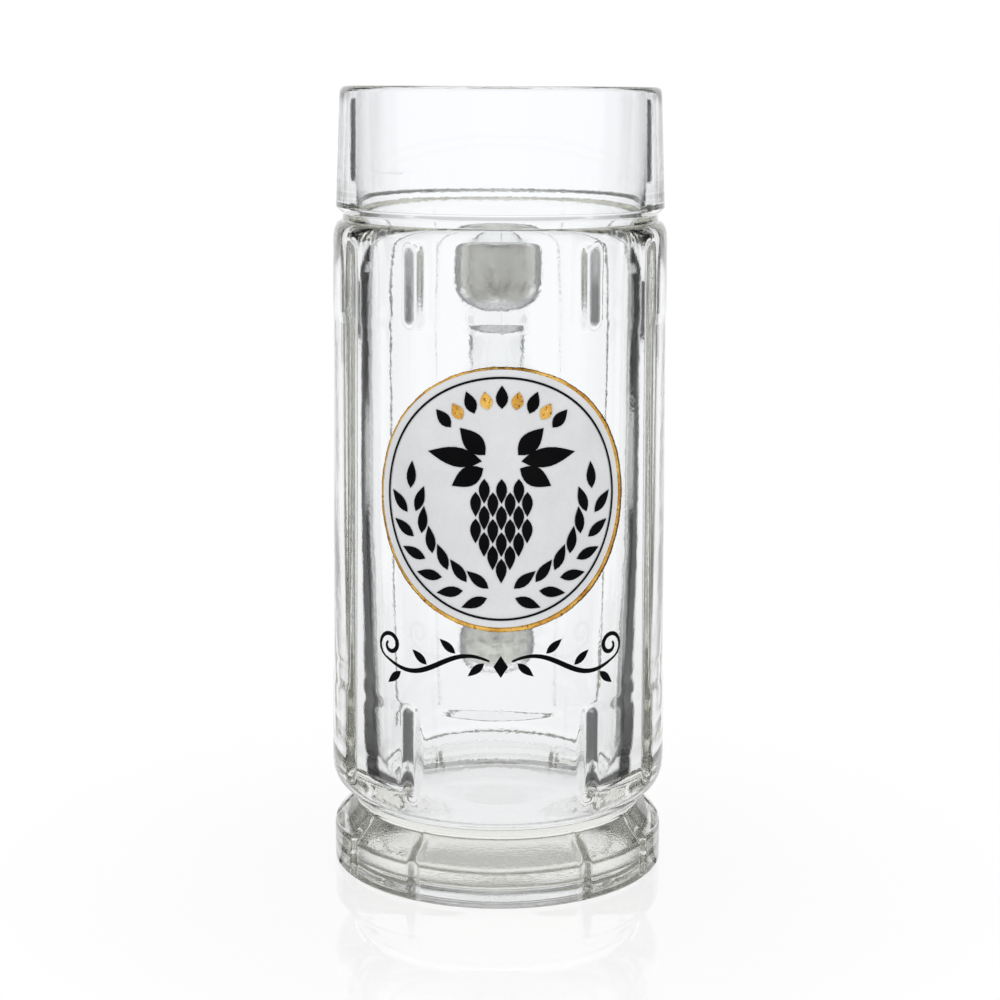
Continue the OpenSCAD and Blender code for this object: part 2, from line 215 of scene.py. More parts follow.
# Columns of the mesh in degrees: elsewhere, over a notch, beside it, and how far the others keep from it
PLAIN_TURN = 2.5
NOTCH_SPAN, NOTCH_SIDE, NOTCH_CLEAR = 4.4, 5.1, 5.6
NOTCH_COLUMNS, BACK_NOTCH_COLUMNS = 23, 17
SEAM_COLUMNS, SEAM_CLEAR = (-1.3, -0.9, -0.6, -0.3, 0.0, 0.3, 0.6, 0.9, 1.3), 1.5

# Slow unevenness of pressed glass: share, waves round the mug, height to a radian and shift of each part
RIPPLES = ((0.45, 3, 19, 1.0), (0.3, 7, -11, 2.1), (0.25, 5, 6.5, 3.7))
UNEVEN_OUT, UNEVEN_BOWL, UNEVEN_FOOT = 0.03, 0.025, 0.05
RIPPLE_SEED, FOOT_RIPPLE_SEED = 0.4, 1.7
FOOT_RIPPLE_TURNS, FOOT_RIPPLE_RISE = 3, 2
# It fades towards the axis, near the table and on the rim band, where a small share stays
WALL_FROM_R, WALL_BLEND = 20, 10
TABLE_CALM_Z, TABLE_CALM_H = 1, 4
BAND_CALM_RISE, BAND_CALM_H, BAND_CALM_REST = 4, 12, 0.12
# Degrees from the front within which the belt stays even under the print
PRINT_HALF_TURN = 50

# Fine unevenness: elsewhere, on the band and under the print, on the bowl's floor, in notches, in the hollow
MOTTLE_PLAIN, MOTTLE_SMOOTH, MOTTLE_FLOOR, MOTTLE_NOTCH, MOTTLE_PUNT = 0.02, 0.01, 0.04, 0.12, 0.08
# On the bowl's wall before the handle's joints, with the patch's half width in degrees and its half height
MOTTLE_JOINT, JOINT_HALF_TURN, JOINT_HALF_H = 0.5, 25, 10.5
# Heights above the bowl's floor and the hollow's top that still count as them
BOWL_FLOOR_H, HOLLOW_MARGIN = 6, 0.1
# Depth from which a place counts as notched, and the further depth to its full share
NOTCHED_FROM, NOTCHED_BLEND = 0.1, 0.3
# Strengths of the slow waves in the surface, which are less from just below the rim band on
WAVE_PLAIN, WAVE_BAND, WAVE_BAND_DROP = 1.0, 0.25, 4


def turned(a, mid):
    """Angle from mid to a, from -180 to 180 degrees."""
    return (a - mid + 180) % 360 - 180


def ring_angles():
    """Angles from the front in degrees: close together at notches and seams."""
    found = {round(a, 2) for a in np.arange(-180, 180, PLAIN_TURN)}
    for mid in FRONT_NOTCHES + SIDE_NOTCHES:
        found = {a for a in found if abs(a - mid) > NOTCH_CLEAR}
        count = BACK_NOTCH_COLUMNS if abs(mid) > BACK_FROM else NOTCH_COLUMNS
        steps = np.linspace(-NOTCH_SPAN, NOTCH_SPAN, count)
        found |= {round(mid + d, 2) for d in (-NOTCH_SIDE, *steps, NOTCH_SIDE)}
    for mid in SEAMS:
        found = {a for a in found if abs(turned(a, mid)) > SEAM_CLEAR}
        found |= {round(turned(mid + d, 0), 2) for d in SEAM_COLUMNS}
    return np.array(sorted(found))


def smooth_min(a, b, soft):
    """Smaller of a and b, with the edge between them rounded."""
    h = np.clip(soft - np.abs(a - b), 0, None) / soft
    return np.minimum(a, b) - h * h * soft / 4


def notch_surface(a, z, mid, low, high):
    """Radius of a V notch in the panels with rounded ends, at direction mid from the front."""
    face = panel_r(z)
    along = face * np.radians(turned(a, mid))
    beyond = np.maximum(np.maximum(low + NOTCH_W / 2 - z, z - high + NOTCH_W / 2), 0)
    soft = BACK_NOTCH_SOFT if abs(mid) > BACK_FROM else NOTCH_SOFT
    spread = np.sqrt(along ** 2 + beyond ** 2 + soft ** 2)
    return face - NOTCH_D * (1 - spread / (NOTCH_W / 2))


def ripple(a, z, seed):
    """Slow unevenness of pressed glass, from -1 to 1."""
    t = np.radians(a)
    return sum(share * np.sin(turns * t + z / rise + shift * seed) for share, turns, rise, shift in RIPPLES)


def notched_radii(a, z, plain, outside, foot_side):
    """Radii of the plain vessel with the notches of wall and foot cut into its outside."""
    spans = [(mid, low, high) for mid in FRONT_NOTCHES
             for low, high in ((NOTCH_LOW, BELT_LOW), (BELT_TOP, NOTCH_HIGH))]
    spans += [(mid, NOTCH_LOW, NOTCH_HIGH) for mid in SIDE_NOTCHES]
    cut = plain
    for mid, low, high in spans:
        cut = smooth_min(cut, notch_surface(a, z, mid, low, high), NOTCH_EDGE_SOFT)
    foot_depth = FOOT_NOTCH_D * np.clip((GROOVE_Z - z) / FOOT_FADE_H, FOOT_FADE_REST, 1)
    for mid in FRONT_NOTCHES + SIDE_NOTCHES:
        spread = np.sqrt((FOOT_R * np.radians(turned(a, mid))) ** 2 + FOOT_NOTCH_SOFT ** 2)
        foot = plain - foot_depth * (1 - spread / (FOOT_NOTCH_W / 2))
        cut = np.where(foot_side, smooth_min(cut, foot, FOOT_EDGE_SOFT), cut)
    return np.where(outside, cut, plain)


def unevenness(a, z, r, outside, foot_side):
    """Slow unevenness in millimetres at radius r."""
    wall = np.clip((r - WALL_FROM_R) / WALL_BLEND, 0, 1)
    uneven = np.where(outside, UNEVEN_OUT, UNEVEN_BOWL) * ripple(a, z, RIPPLE_SEED) * wall
    on_foot = UNEVEN_FOOT * ripple(FOOT_RIPPLE_TURNS * a, FOOT_RIPPLE_RISE * z, FOOT_RIPPLE_SEED)
    uneven = np.where(foot_side, uneven + on_foot, uneven)
    at_table = np.clip((z - TABLE_CALM_Z) / TABLE_CALM_H, 0, 1)
    at_band = np.clip((BAND_Z + BAND_CALM_RISE - z) / BAND_CALM_H, BAND_CALM_REST, 1)
    return uneven * (at_table * at_band)


def mottle_levels(a, z, plain, notched, outside, belt):
    """Strength of the fine unevenness at every point."""
    on_floor = ~outside & (z < BOTTOM_T + BOWL_FLOOR_H)
    smooth = outside & ((z > BAND_Z) | belt)
    mottle = np.select([on_floor, smooth], [MOTTLE_FLOOR, MOTTLE_SMOOTH], MOTTLE_PLAIN)
    mottle = np.maximum(mottle, MOTTLE_NOTCH * notched)
    for joint in (TOP_Z, LOW_Z):
        patch = np.exp(-(turned(a, 180) / JOINT_HALF_TURN) ** 4 - ((z - joint) / JOINT_HALF_H) ** 4)
        mottle = np.maximum(mottle, np.where(outside, 0.0, MOTTLE_JOINT) * patch)
    in_hollow = outside & (z < PUNT_H + HOLLOW_MARGIN) & (plain < PUNT_R)
    return np.where(in_hollow, MOTTLE_PUNT, mottle)


def vessel_grids(angles):
    """Radius, fine unevenness and slow waves at every profile point and angle."""
    a = angles[None, :]
    r = np.repeat(profile[:, :1], len(angles), 1)
    z = np.repeat(profile[:, 1:], len(angles), 1)
    outside = np.arange(len(profile))[:, None] < rim_row - RIM_ROWS
    behind = np.clip((np.abs(a) - BELT_BACK_FROM) / BELT_BACK_BLEND, 0, 1) * outside
    on_belt_rows = (z > BELT_LOW - BELT_STEP) & (z < BELT_TOP + BELT_STEP)
    plain = r + np.where(on_belt_rows, BELT_BACK_FILL * behind * np.maximum(panel_r(z) - r, 0), 0)
    foot_side = outside & (z > FOOT_SIDE_RISE) & (z < GROOVE_Z) & (plain > PUNT_R + FOOT_SIDE_OUT)
    belt = (z > BELT_LOW) & (z < BELT_TOP) & outside & (np.abs(a) < PRINT_HALF_TURN)
    r = notched_radii(a, z, plain, outside, foot_side)
    notched = np.clip((plain - r - NOTCHED_FROM) / NOTCHED_BLEND, 0, 1)
    r = r + np.where(belt, 0, unevenness(a, z, r, outside, foot_side))
    for mid in SEAMS:
        ridge = SEAM_H * np.exp(-(turned(a, mid) / SEAM_TURN) ** 2)
        r = r + np.where(outside & (z > SEAM_FROM_Z) & (r > SEAM_FROM_R) & ~belt, ridge, 0)
    wave = np.where(z > BAND_Z - WAVE_BAND_DROP, WAVE_BAND, WAVE_PLAIN)
    return r, mottle_levels(a, z, plain, notched, outside, belt), wave


def set_relief(obj, mottle, wave, cloud):
    """Strengths of the glass's fine and slow unevenness and of the painted shade on the handle's upper joint
    at each vertex.
    """
    for name, values in (("mottle", mottle), ("wave", wave), ("cloud", cloud)):
        layer = obj.data.attributes.new(name, "FLOAT", "POINT")
        layer.data.foreach_set("value", np.asarray(values, np.float32).ravel())


def make_vessel():
    """The pressed glass body, closed by a fan of faces under the hollow and on the bowl's floor."""
    angles = ring_angles()
    r, mottle, wave = (grid[1:-1] for grid in vessel_grids(angles))
    z = np.repeat(profile[1:-1, 1:], len(angles), 1)
    t = np.radians(angles)[None, :]
    verts = np.stack([r * np.sin(t), -r * np.cos(t), z], -1).reshape(-1, 3)
    rows, cols = r.shape
    faces = grid_faces(rows, cols)
    under, floor = len(verts), len(verts) + 1
    verts = np.vstack([verts, [[0, 0, PUNT_H], [0, 0, BOTTOM_T]]])
    last = (rows - 1) * cols
    for i in range(cols):
        j = (i + 1) % cols
        faces.append([under, j, i])
        faces.append([floor, last + i, last + j])
    vessel = add_object("glass_vessel", verts, faces)
    mottle = np.append(mottle, [MOTTLE_PUNT, MOTTLE_FLOOR])
    wave = np.append(wave, [WAVE_PLAIN, WAVE_PLAIN])
    set_relief(vessel, mottle, wave, np.zeros(len(verts)))
    return vessel


# Handle: a rounded section swept along a D-shaped line, its ends shaped to the wall

ROOT_Y, REACH = 32.9, 79.0
GRIP_W, GRIP_T = 20.0, 13.0
TOP_PAD_W, LOW_PAD_W, PAD_T = 23.0, 20.5, 13.5
# Powers that square the line and the section, and the share of the line over which it widens to a joint
LINE_POWER_Y, LINE_POWER_Z, SECTION_POWER, FLARE_SHARE = 0.62, 0.8, 0.85, 0.2
ROOT_FILLET, ROOT_OVERLAP, ROOT_BLEND = 2.0, 0.3, 12.0
HANDLE_SIDES, GRIP_RINGS, TANGENT_STEP = 64, 72, 0.01
# Distances of the end rings from the wall, the one that stands for the grip, and the joint faces' inner rings
ROOT_STEPS = (-ROOT_OVERLAP, 0.0, 0.08, 0.2, 0.4, 0.7, 1.1, 1.6, 2.2, 3.0, 4.0, 5.2, 6.6, 8.2, 10.0, 12.0)
GRIP_CLEAR = 99.0
CAP_SHARES = (0.85, 0.68, 0.5, 0.3, 0.12)
# Fine unevenness at the joints and on the grip, and how fast it falls with the distance from the wall
JOINT_MOTTLE, GRIP_MOTTLE, MOTTLE_RUN = 0.12, 0.04, 60
# Patch of painted shade on the upper joint's face, kept in the cloud attribute: half width, drop below the
# joint's middle, half height and depth
PAINTED_SHADE_HALF_W, PAINTED_SHADE_DROP, PAINTED_SHADE_HALF_H, PAINTED_SHADE_DEPTH = 7.5, 3.4, 2.6, 0.1


def signed_pow(v, e):
    return np.sign(v) * np.abs(v) ** e


def line_y(t):
    return ROOT_Y + (REACH - ROOT_Y) * max(0.0, math.sin(math.pi * t)) ** LINE_POWER_Y


def line_z(t):
    return (TOP_Z + LOW_Z) / 2 + (TOP_Z - LOW_Z) / 2 * float(signed_pow(math.cos(math.pi * t), LINE_POWER_Z))


def line_t(y):
    """Place on the upper half of the handle's line at y."""
    share = (y - ROOT_Y) / (REACH - ROOT_Y)
    return math.asin(share ** (1 / LINE_POWER_Y)) / math.pi


def wall_r(z):
    """Outer radius of the vessel under the handle's joints, between its notches."""
    rows = profile[:rim_row]
    keep = rows[:, 1] > GROOVE_Z
    return np.interp(z, rows[keep, 1], rows[keep, 0])


def handle_ring(t, clear):
    """One ring of the sweep; clear is the middle line's distance from the wall."""
    flare = (1 - min(1.0, min(t, 1 - t) / FLARE_SHARE)) ** 2
    width = GRIP_W + ((TOP_PAD_W if t < 0.5 else LOW_PAD_W) - GRIP_W) * flare
    thick = GRIP_T + (PAD_T - GRIP_T) * flare
    t0, t1 = max(0.0, t - TANGENT_STEP), min(1.0, t + TANGENT_STEP)
    turn = math.atan2(line_z(t1) - line_z(t0), line_y(t1) - line_y(t0))
    near = max(0.0, 1 - max(clear, 0.0) / ROOT_FILLET)
    swell = ROOT_FILLET * (1 - math.sqrt(max(0.0, 1 - near ** 2)))
    a = np.linspace(0, 2 * math.pi, HANDLE_SIDES, endpoint=False)
    across = (width / 2 + swell) * signed_pow(np.cos(a), SECTION_POWER)
    out = (thick / 2 + swell) * signed_pow(np.sin(a), SECTION_POWER)
    y = line_y(t) - out * math.sin(turn)
    z = line_z(t) + out * math.cos(turn)
    share = max(0.0, 1 - max(clear, 0.0) / ROOT_BLEND) ** 2
    on_wall = np.sqrt(wall_r(z) ** 2 - across ** 2) + clear
    y = (1 - share) * y + share * on_wall
    return np.stack([across, y, z], -1)


def cap_rings(ring):
    """Rings of a joint's face inside its outline, just within the wall."""
    mid = ring.mean(0)
    made = []
    for share in CAP_SHARES:
        inner = mid + (ring - mid) * share
        inner[:, 1] = np.sqrt(wall_r(inner[:, 2]) ** 2 - inner[:, 0] ** 2) - ROOT_OVERLAP
        made.append(inner)
    return made


def make_handle():
    """The handle, from the upper joint's face along the grip to the lower joint's face."""
    upper = [(line_t(float(wall_r(TOP_Z)) + c), c) for c in ROOT_STEPS]
    lower = [(1 - line_t(float(wall_r(LOW_Z)) + c), c) for c in reversed(ROOT_STEPS)]
    grip = [(t, GRIP_CLEAR) for t in np.linspace(upper[-1][0], lower[0][0], GRIP_RINGS)[1:-1]]
    rings = [handle_ring(t, c) for t, c in upper + grip + lower]
    rings = cap_rings(rings[0])[::-1] + rings + cap_rings(rings[-1])
    n = HANDLE_SIDES
    verts = np.vstack(rings)
    faces = grid_faces(len(rings), n, flip=True)
    ends = [rings[0].mean(0), rings[-1].mean(0)]
    for end in ends:
        end[1] = float(wall_r(end[2])) - ROOT_OVERLAP
    top, low = len(verts), len(verts) + 1
    base = (len(rings) - 1) * n
    for i in range(n):
        j = (i + 1) % n
        faces.append([top, i, j])
        faces.append([low, base + j, base + i])
    verts = np.vstack([verts, ends])
    handle = add_object("glass_handle", verts, faces)
    clear = np.hypot(verts[:, 0], verts[:, 1]) - wall_r(verts[:, 2])
    # Painted shade: a dark patch on the upper joint's face, strongest at its lower middle, kept in the cloud
    # attribute
    aside, above = verts[:, 0] / PAINTED_SHADE_HALF_W, (verts[:, 2] - TOP_Z + PAINTED_SHADE_DROP) / PAINTED_SHADE_HALF_H
    cloud = np.exp(-aside ** 4 - above ** 4) * (clear < PAINTED_SHADE_DEPTH)
    mottle = np.clip(JOINT_MOTTLE - clear / MOTTLE_RUN, GRIP_MOTTLE, JOINT_MOTTLE)
    set_relief(handle, mottle, np.ones(len(verts)), cloud)
    return handle


# Gold edge of the badge, worn uneven by use

GOLD_POINTS = 720
# Share of the full width: mean, swing from side to side and its direction, grain, and the least and the most
GOLD_MEAN, GOLD_SWING, GOLD_DIRECTION, GOLD_GRAIN, GOLD_LEAST, GOLD_MOST = 0.68, 0.3, 0.6, 0.07, 0.2, 1.0
# Grain of the worn edge: share, waves round the badge and shift of each part
GRAIN_WAVES = ((0.5, 23, 1.0), (0.35, 57, 2.3), (0.3, 131, 0.4), (0.25, 211, 4.0))
# Section of the ring: share of its width, and lift from the glass
GOLD_SECTION = ((0.0, 0.0), (1.0, 0.0), (1.0, PRINT_T * 0.8), (0.5, PRINT_T), (0.0, PRINT_T))


def on_belt(radius, phi, lift):
    """Points on the belt at a distance from the badge's middle, lifted from the glass."""
    z = BADGE_Z + radius * np.sin(phi)
    a = radius * np.cos(phi) / belt_r(BADGE_Z)
    r = belt_r(z) + PRINT_GAP + lift
    return np.stack([r * np.sin(a), -r * np.cos(a), z], -1)


def make_gold_rim():
    """The gold ring, a closed band round the enamel."""
    n = GOLD_POINTS
    phi = np.linspace(0, 2 * math.pi, n, endpoint=False)
    grain = sum(share * np.sin(turns * phi + shift) for share, turns, shift in GRAIN_WAVES)
    shares = GOLD_MEAN + GOLD_SWING * np.cos(phi + GOLD_DIRECTION) + GOLD_GRAIN * grain
    width = (BADGE_R - ENAMEL_R) * np.clip(shares, GOLD_LEAST, GOLD_MOST)
    rings = [on_belt(ENAMEL_R + width * share, phi, lift) for share, lift in GOLD_SECTION]
    faces = grid_faces(len(rings), n)
    last = (len(rings) - 1) * n
    for i in range(n):
        j = (i + 1) % n
        faces.append([last + i, last + j, j, i])
    return add_object("gold_rim", np.vstack(rings), faces)


# Materials

class Nodes:
    """A material's node tree with short calls for nodes and links."""

    def __init__(self, name, world=None):
        self.material = world or bpy.data.materials.new(name)
        self.material.use_nodes = True
        self.tree = self.material.node_tree
        self.tree.nodes.clear()
        self.output = self.add("ShaderNodeOutputWorld" if world else "ShaderNodeOutputMaterial")

    def add(self, kind, **inputs):
        node = self.tree.nodes.new(kind)
        for key, value in inputs.items():
            if key.startswith("set_"):
                setattr(node, key[4:], value)
            else:
                self.put(node, key.replace("_", " "), value)
        return node

    def put(self, node, key, value):
        socket = node.inputs[key]
        if isinstance(value, bpy.types.NodeSocket):
            self.tree.links.new(value, socket)
        else:
            socket.default_value = value

    def place(self):
        return self.add("ShaderNodeTexCoord").outputs["Object"]

    def noise(self, scale, detail=3.0, roughness=0.5):
        node = self.add("ShaderNodeTexNoise", Vector=self.place(), Scale=scale, Detail=detail,
                        Roughness=roughness)
        return node.outputs[0]

    def ramp(self, factor, low, high, first, last):
        node = self.add("ShaderNodeValToRGB", Fac=factor)
        for stop, place, colour in zip(node.color_ramp.elements, (low, high), (first, last)):
            stop.position = place
            stop.color = (*colour, 1.0)
        return node.outputs[0]

    def scaled(self, factor, low, high, first=0.0, last=1.0):
        node = self.add("ShaderNodeMapRange", Value=factor)
        for key, value in zip(("From Min", "From Max", "To Min", "To Max"), (low, high, first, last)):
            node.inputs[key].default_value = value
        return node.outputs[0]

    def bump(self, height, distance, over=None):
        node = self.add("ShaderNodeBump", Height=height, Distance=distance)
        if over is not None:
            self.put(node, "Normal", over)
        return node.outputs[0]

    def attribute(self, name):
        return self.add("ShaderNodeAttribute", set_attribute_name=name).outputs["Fac"]

    def maths(self, operation, *values):
        node = self.add("ShaderNodeMath", set_operation=operation)
        for index, value in enumerate(values):
            self.put(node, index, value)
        return node.outputs[0]

    def between(self, factor, first, last):
        """Value between two others."""
        node = self.add("ShaderNodeMix")
        for index, value in zip((0, 2, 3), (factor, first, last)):
            self.put(node, index, value)
        return node.outputs[0]

    def blend(self, factor, first, last, kind="MIX"):
        """Colour blended from two others."""
        node = self.add("ShaderNodeMix", set_data_type="RGBA", set_blend_type=kind)
        for index, value in zip((0, 6, 7), (factor, first, last)):
            self.put(node, index, value)
        return node.outputs[2]

    def mix(self, factor, first, last):
        """Shader mixed from two others."""
        node = self.add("ShaderNodeMixShader")
        for index, value in enumerate((factor, first, last)):
            self.put(node, index, value)
        return node.outputs[0]

    def emission(self, colour, strength):
        return self.add("ShaderNodeEmission", Color=colour, Strength=strength).outputs[0]

    def surface(self, shader):
        self.tree.links.new(shader, self.output.inputs["Surface"])
        return self.material


# Range in which a noise mostly lies
NOISE_RANGE = (0.3, 0.7)
# Depths of relief in metres: slow waves and mottle in the glass, and grain of the prints
WAVE_DEPTH, MOTTLE_DEPTH, GRAIN_DEPTH = 0.00004, 0.0003, 0.00003

# Glass: refractive index, colour at the surface, clear and with painted shade, tint in the depth, and the
# shadow's tone
GLASS_IOR = 1.52
GLASS_CLEAR, GLASS_PAINTED_SHADE = (0.986, 0.991, 1.0), (0.05, 0.05, 0.045)
GLASS_TINT, GLASS_DENSITY = (0.875, 0.873, 0.81, 1.0), 12.0
GLASS_SHADOW = (0.97, 0.97, 0.97, 1.0)
# Noise scales of its slow waves, mottle and patch of painted shade, the patch's least share, and roughness by
# mottle
WAVE_SCALE, MOTTLE_SCALE, PAINTED_SHADE_SCALE, PAINTED_SHADE_LEAST = 95.0, 1300.0, 260.0, 0.4
SMOOTH_MOTTLE, ROUGH_MOTTLE, GLASS_ROUGHNESS = 0.05, 0.15, 0.2


def glass_material(name):
    m = Nodes(name)
    mottle = m.attribute("mottle")
    slow = m.bump(m.maths("MULTIPLY", m.noise(WAVE_SCALE, 2.0), m.attribute("wave")), WAVE_DEPTH)
    relief = m.bump(m.maths("MULTIPLY", m.noise(MOTTLE_SCALE, 2.0), mottle), MOTTLE_DEPTH, slow)
    # Painted shade: the cloud attribute darkens the surface colour on the handle's upper joint
    patches = m.scaled(m.noise(PAINTED_SHADE_SCALE, 2.0), *NOISE_RANGE, PAINTED_SHADE_LEAST, 1.0)
    cloud = m.maths("MULTIPLY", m.attribute("cloud"), patches)
    glass = m.add("ShaderNodeBsdfPrincipled", Base_Color=m.ramp(cloud, 0.0, 1.0, GLASS_CLEAR, GLASS_PAINTED_SHADE),
                  Roughness=m.scaled(mottle, SMOOTH_MOTTLE, ROUGH_MOTTLE, 0.0, GLASS_ROUGHNESS),
                  IOR=GLASS_IOR, Transmission_Weight=1.0, Normal=relief)
    clear = m.add("ShaderNodeBsdfTransparent", Color=GLASS_SHADOW)
    shadow = m.add("ShaderNodeLightPath").outputs["Is Shadow Ray"]
    volume = m.add("ShaderNodeVolumeAbsorption", Color=GLASS_TINT, Density=GLASS_DENSITY)
    m.tree.links.new(volume.outputs[0], m.output.inputs["Volume"])
    return m.surface(m.mix(shadow, glass.outputs[0], clear.outputs[0]))


# Enamel: noise scales of grain and cloud, the grain's share in the tone, and the tone's and its stops' ranges
ENAMEL_GRAIN, ENAMEL_CLOUD, GRAIN_SHARE = 1500.0, 120.0, 0.6
TONE_RANGE, TONE_STOPS, ROUGHNESS_SPREAD = (0.4, 1.2), (0.2, 0.8), 0.08


def enamel_material(name, pale, shade, roughness, gloss):
    m = Nodes(name)
    grain = m.noise(ENAMEL_GRAIN, 4.0, 0.6)
    cloud = m.noise(ENAMEL_CLOUD, 3.0)
    tone = m.scaled(m.maths("MULTIPLY_ADD", grain, GRAIN_SHARE, cloud), *TONE_RANGE)
    rough = m.scaled(cloud, *NOISE_RANGE, roughness - ROUGHNESS_SPREAD, roughness + ROUGHNESS_SPREAD)
    shader = m.add("ShaderNodeBsdfPrincipled", Base_Color=m.ramp(tone, *TONE_STOPS, shade, pale),
                   Roughness=rough, Specular_IOR_Level=gloss, Normal=m.bump(grain, GRAIN_DEPTH))
    return m.surface(shader.outputs[0])


# Gold: dark and bright tones, tone of the worn flecks, and the burnt specks between two heights above the
# badge's middle
GOLD_DARK, GOLD_BRIGHT, GOLD_WORN = (0.5, 0.22, 0.03), (0.92, 0.56, 0.13), (0.2, 0.09, 0.02)
GOLD_BURNT, BURNT_FROM, BURNT_FULL = (0.03, 0.018, 0.01, 1.0), 28.6, 30.4
# Noise scales of its flecks and clouds, ranges of the noise for tone, wear and burning, and its roughness
GOLD_FLECK, GOLD_CLOUD = 1400.0, 210.0
GOLD_STOPS, WORN_STOPS, BURNT_RANGE, GOLD_ROUGHNESS = (0.1, 0.9), (0.36, 0.44), (0.42, 0.52), (0.2, 0.42)


def gold_material(name):
    m = Nodes(name)
    fleck = m.noise(GOLD_FLECK, 4.0, 0.7)
    cloud = m.noise(GOLD_CLOUD, 3.0)
    colour = m.ramp(m.scaled(cloud, *NOISE_RANGE), *GOLD_STOPS, GOLD_DARK, GOLD_BRIGHT)
    tone = m.blend(1.0, colour, m.ramp(fleck, *WORN_STOPS, GOLD_WORN, (1.0, 1.0, 1.0)), "MULTIPLY")
    height = m.add("ShaderNodeSeparateXYZ", Vector=m.place()).outputs["Z"]
    high = m.scaled(height, (BADGE_Z + BURNT_FROM) * MM, (BADGE_Z + BURNT_FULL) * MM)
    burnt = m.maths("MULTIPLY", high, m.scaled(fleck, *BURNT_RANGE))
    shader = m.add("ShaderNodeBsdfPrincipled", Base_Color=m.blend(burnt, tone, GOLD_BURNT), Metallic=1.0,
                   Roughness=m.scaled(fleck, *NOISE_RANGE, *GOLD_ROUGHNESS),
                   Normal=m.bump(fleck, GRAIN_DEPTH))
    return m.surface(shader.outputs[0])


clear_glass = glass_material("clear_glass")
grey_enamel = enamel_material("grey_enamel", (0.665, 0.675, 0.685), (0.6, 0.61, 0.62), 0.35, 0.5)
black_enamel = enamel_material("black_enamel", (0.004, 0.004, 0.0045), (0.0015, 0.0015, 0.002), 0.3, 0.03)
etched_mark = enamel_material("etched_mark", (0.84, 0.85, 0.85), (0.72, 0.74, 0.74), 0.7, 0.5)
fired_gold = gold_material("fired_gold")

vessel, handle, gold_rim = make_vessel(), make_handle(), make_gold_rim()
for piece, node, slot, material in (
        (vessel, "glass_body", "clear_glass", clear_glass), (handle, "handle", "clear_glass", clear_glass),
        (gold_rim, "badge_gold_rim", "fired_gold", fired_gold)):
    piece.data.materials.append(material)
    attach(piece, "root")
    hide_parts(node)
for node, slot, material in (
        ("badge_enamel", "grey_enamel", grey_enamel), ("badge_black_print", "black_enamel", black_enamel),
        ("badge_gold_print", "fired_gold", fired_gold), ("ornament_line", "black_enamel", black_enamel),
        ("fill_mark", "etched_mark", etched_mark)):
    nodes[node].data.materials.clear()
    nodes[node].data.materials.append(material)

# Studio: white floor with a soft mirror image, and a white surround whose dim strips draw the glass's edges

# Levels of the surround by degrees from straight behind the mug, the same on both sides
WALL_LEVELS = ((0.0, 1.0), (36.0, 1.0), (38.5, 0.03), (43.5, 0.03), (45.5, 0.5), (47.5, 0.5), (49.5, 0.03),
               (56.0, 0.03), (58.5, 0.22), (80.0, 0.18), (87.0, 0.9), (180.0, 1.0))
# FLOOR, MID, NEAR and UNDER levels are painted shade and reflection on the floor, seen only by glass and
# gloss
FLOOR_LEVELS = ((0.0, 1.0), (40.0, 1.0), (45.0, 0.9), (48.0, 0.04), (58.0, 0.03), (61.0, 0.35), (79.0, 0.3),
                (87.0, 0.9), (180.0, 1.0))
MID_LEVELS = ((0.0, 1.0), (44.0, 1.0), (47.5, 0.04), (51.5, 0.04), (54.5, 0.5), (60.0, 0.5), (79.0, 0.3),
              (87.0, 0.9), (180.0, 1.0))
NEAR_LEVELS = ((0.0, 1.0), (44.0, 1.0), (48.0, 0.04), (63.0, 0.04), (68.0, 0.13), (102.0, 0.1), (108.0, 0.9),
               (180.0, 1.0))
UNDER_LEVELS = ((0.0, 1.0), (44.0, 1.0), (48.0, 0.04), (63.0, 0.04), (69.0, 0.9), (180.0, 1.0))
# Rings of the floor outside the mug's foot, painted with the shade and reflection of the surround's dim
# strips that glass and gloss see: levels, and the radii in metres where they begin and are full
FLOOR_RINGS = ((NEAR_LEVELS, 0.082, 0.087), (FLOOR_LEVELS, 0.15, 0.2), (MID_LEVELS, 0.42, 0.5),
               (FLOOR_LEVELS, 0.68, 0.76), (WALL_LEVELS, 1.0, 1.08))
# On the floor the degrees are counted from these places on the two walls of the mug, in metres
WALL_PLACE = (0.036, -0.012)
# The surround's top: degrees above the floor where it begins to dim and has dimmed, and its level there
CEILING = (16.0, 30.0, 0.5)
SURROUND_TINT, SURROUND_LIGHT = (0.982, 0.988, 1.0, 1.0), 1.035
# Strengths of the plain light on other surfaces and of the background in the camera's view
WORLD_LIGHT, BACKGROUND_LIGHT = 0.56, 1.05

# Floor: tones, glow under the shadow, radii in metres of the shadow, the mirror image and the dimmer middle,
# a painted shadow that only glass and gloss see
WHITE, FLOOR_TONE, FLOOR_GLOW = (1.0, 1.0, 1.0, 1.0), (0.08, 0.08, 0.08, 1.0), 0.965
SHADOW_FROM, SHADOW_TO = 0.055, 0.12
MIRROR_FROM, MIRROR_TO, MIRROR_SHARE, MIRROR_BLUR = 0.04, 0.13, 0.2, 0.02
PAINTED_SHADOW_FROM, PAINTED_SHADOW_TO, PAINTED_SHADOW_LEVEL = 0.05, 0.3, 0.9
FLOOR_POINTS, FLOOR_RADII, FLOOR_Z = 96, (150.0, 600.0, 3000.0), -0.05


